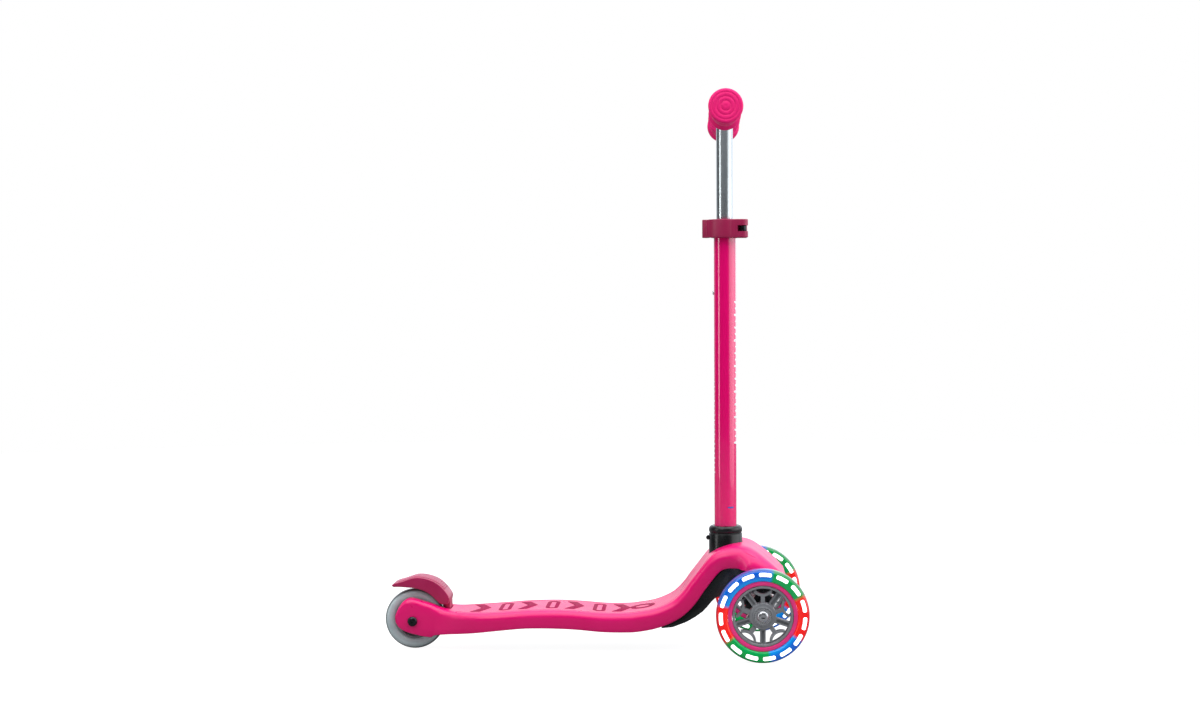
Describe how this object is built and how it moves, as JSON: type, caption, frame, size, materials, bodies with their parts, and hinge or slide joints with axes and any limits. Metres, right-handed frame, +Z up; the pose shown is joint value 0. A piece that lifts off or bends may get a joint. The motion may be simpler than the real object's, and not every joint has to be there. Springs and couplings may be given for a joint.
{
  "type": "kick scooter",
  "caption": "Child's three-wheeled kick scooter with lean-to-steer front wheels, a curved deck, a rear fender brake and a telescoping, lift-out T-bar.",
  "frame": {"origin": "centre of the scooter's box in X and Y, on the floor under the wheels", "axes": "+X forward, +Y to the rider's left, +Z up along the steering column"},
  "size_m": [0.5656, 0.28, 0.737],
  "materials": {
    "pink_deck": "satin moulded composite",
    "pink_paint": "gloss powder coat",
    "pink_plastic": "satin",
    "pink_rubber": "soft matt",
    "dark_pink": "fine grain",
    "black": "fine grain",
    "silver": "brushed anodised",
    "steel": "zinc plated",
    "rim_grey": "satin",
    "clear_tyre": "clear polyurethane",
    "light": "milky light guide"
  },
  "bodies": {
    "deck": {"deck_shell": "pink_deck", "deck_underplate": "black", "deck_screw_1": "steel", "deck_screw_2": "steel", "deck_screw_3": "steel", "deck_screw_4": "steel", "head_housing": "black", "steering_collar": "black", "brake_pin": "steel", "brake_spring": "steel", "kingpin_left": "steel", "kingpin_right": "steel", "centring_spring_left": "steel", "centring_spring_right": "steel", "rear_axle_bolt": "steel", "rear_axle_nut": "steel", "rear_spacer": "steel"},
    "release_button": {"release_button": "black"},
    "brake": {"brake_fender": "dark_pink"},
    "steer_left": {"knuckle_left": "black", "axle_bolt_left": "silver", "wheel_spacer_left": "steel"},
    "steer_right": {"knuckle_right": "black", "axle_bolt_right": "silver", "wheel_spacer_right": "steel"},
    "tie_rod": {"tie_rod": "steel"},
    "wheel_rear": {"rear_tyre": "clear_tyre", "rear_core": "rim_grey", "rear_bearing_right": "steel", "rear_bearing_left": "steel"},
    "column": {"outer_tube": "pink_paint", "tube_plug": "black", "latch_clip": "steel", "top_bush": "black", "clamp_ring": "dark_pink", "clamp_bolt": "steel", "clamp_barrel": "black"},
    "clamp_lever": {"clamp_lever": "dark_pink"},
    "t_bar": {"t_bar": "silver", "foot_bush": "black", "height_clip": "steel", "grip_left": "pink_rubber", "grip_right": "pink_rubber"},
    "height_button": {"height_button": "steel"},
    "wheel_left": {"tyre_left": "clear_tyre", "light_ring_left": "light", "hub_ring_left": "pink_plastic", "rim_left": "rim_grey", "bearing_outer_left": "steel", "bearing_inner_left": "steel"},
    "wheel_right": {"tyre_right": "clear_tyre", "light_ring_right": "light", "hub_ring_right": "pink_plastic", "rim_right": "rim_grey", "bearing_outer_right": "steel", "bearing_inner_right": "steel"}
  },
  "joints": [
    {"name": "steer_left", "type": "hinge", "parent": "deck", "child": "steer_left", "pos_m": [0.22225, 0.076, 0.0605], "axis": [0.5, 0, 0.866], "range_deg": [-18, 18], "stiffness_Nm_per_rad": 3, "deforming": ["centring_spring_left"]},
    {"name": "steer_right", "type": "hinge", "parent": "deck", "child": "steer_right", "pos_m": [0.22225, -0.076, 0.0605], "axis": [0.5, 0, 0.866], "range_deg": [-18, 18], "stiffness_Nm_per_rad": 3, "deforming": ["centring_spring_right"]},
    {"name": "tie_rod_pivot", "type": "hinge", "parent": "steer_left", "child": "tie_rod", "pos_m": [0.20147, 0.076, 0.0725], "axis": [0.5, 0, 0.866], "range_deg": [-19, 19]},
    {"name": "wheel_left_spin", "type": "hinge", "parent": "steer_left", "child": "wheel_left", "pos_m": [0.22225, 0.124, 0.0605], "axis": [0, 1, 0], "continuous": true},
    {"name": "wheel_right_spin", "type": "hinge", "parent": "steer_right", "child": "wheel_right", "pos_m": [0.22225, -0.124, 0.0605], "axis": [0, 1, 0], "continuous": true},
    {"name": "wheel_rear_spin", "type": "hinge", "parent": "deck", "child": "wheel_rear", "pos_m": [-0.24275, 0, 0.04], "axis": [0, 1, 0], "continuous": true},
    {"name": "brake_press", "type": "hinge", "parent": "deck", "child": "brake", "pos_m": [-0.19755, 0, 0.053], "axis": [0, -1, 0], "range_deg": [0, 3.8], "stiffness_Nm_per_rad": 2, "springref_deg": -6.88, "deforming": ["brake_spring"]},
    {"name": "column_lift", "type": "slide", "parent": "deck", "child": "column", "axis": [0, 0, 1], "range_m": [0, 0.075], "deforming": ["latch_clip"]},
    {"name": "height_slide", "type": "slide", "parent": "column", "child": "t_bar", "axis": [0, 0, 1], "range_m": [-0.05, 0.05], "deforming": ["height_clip", "height_button"]},
    {"name": "clamp_lever_swing", "type": "hinge", "parent": "column", "child": "clamp_lever", "pos_m": [0.20025, -0.016, 0.56385], "axis": [0, 0, 1], "range_deg": [0, 110]},
    {"name": "height_button_press", "type": "slide", "parent": "t_bar", "child": "height_button", "axis": [1, 0, 0], "range_m": [0, 0.0035], "stiffness_N_per_m": 400, "deforming": ["height_clip"]},
    {"name": "release_button_press", "type": "slide", "parent": "deck", "child": "release_button", "axis": [1, 0, 0], "range_m": [0, 0.003], "stiffness_N_per_m": 400, "deforming": ["latch_clip"]}
  ],
  "couplings": [
    {"joint": "steer_right", "follows": "steer_left", "ratio": 1},
    {"joint": "tie_rod_pivot", "follows": "steer_left", "ratio": -1}
  ]
}
